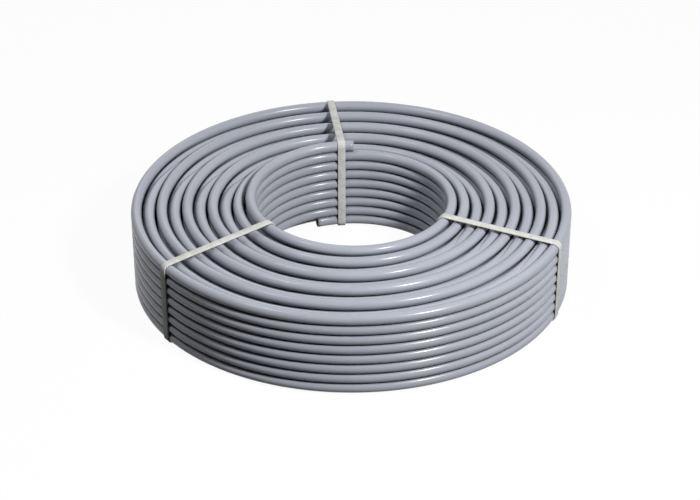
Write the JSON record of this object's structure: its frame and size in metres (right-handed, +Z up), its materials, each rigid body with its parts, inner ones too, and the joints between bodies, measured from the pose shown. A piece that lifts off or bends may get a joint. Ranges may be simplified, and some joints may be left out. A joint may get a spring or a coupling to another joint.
{
  "type": "pex pipe coil",
  "caption": "Round coil of plastic pipe wound flat in layers, with a clear round eye and strap bands round its section.",
  "frame": {"origin": "under the middle of the coil, on the surface it lies on", "axes": "+Z up along the coil's axis; +Y to the side where both pipe ends are"},
  "size_m": [0.8319, 0.8332, 0.1849],
  "materials": {
    "pipe": "smooth satin bluish grey",
    "strap": "off-white strapping with a soft mottled weave"
  },
  "bodies": {
    "root": {"pipe_coil": "pipe", "strap_back": "strap", "strap_right": "strap", "strap_left": "strap"}
  },
  "joints": []
}
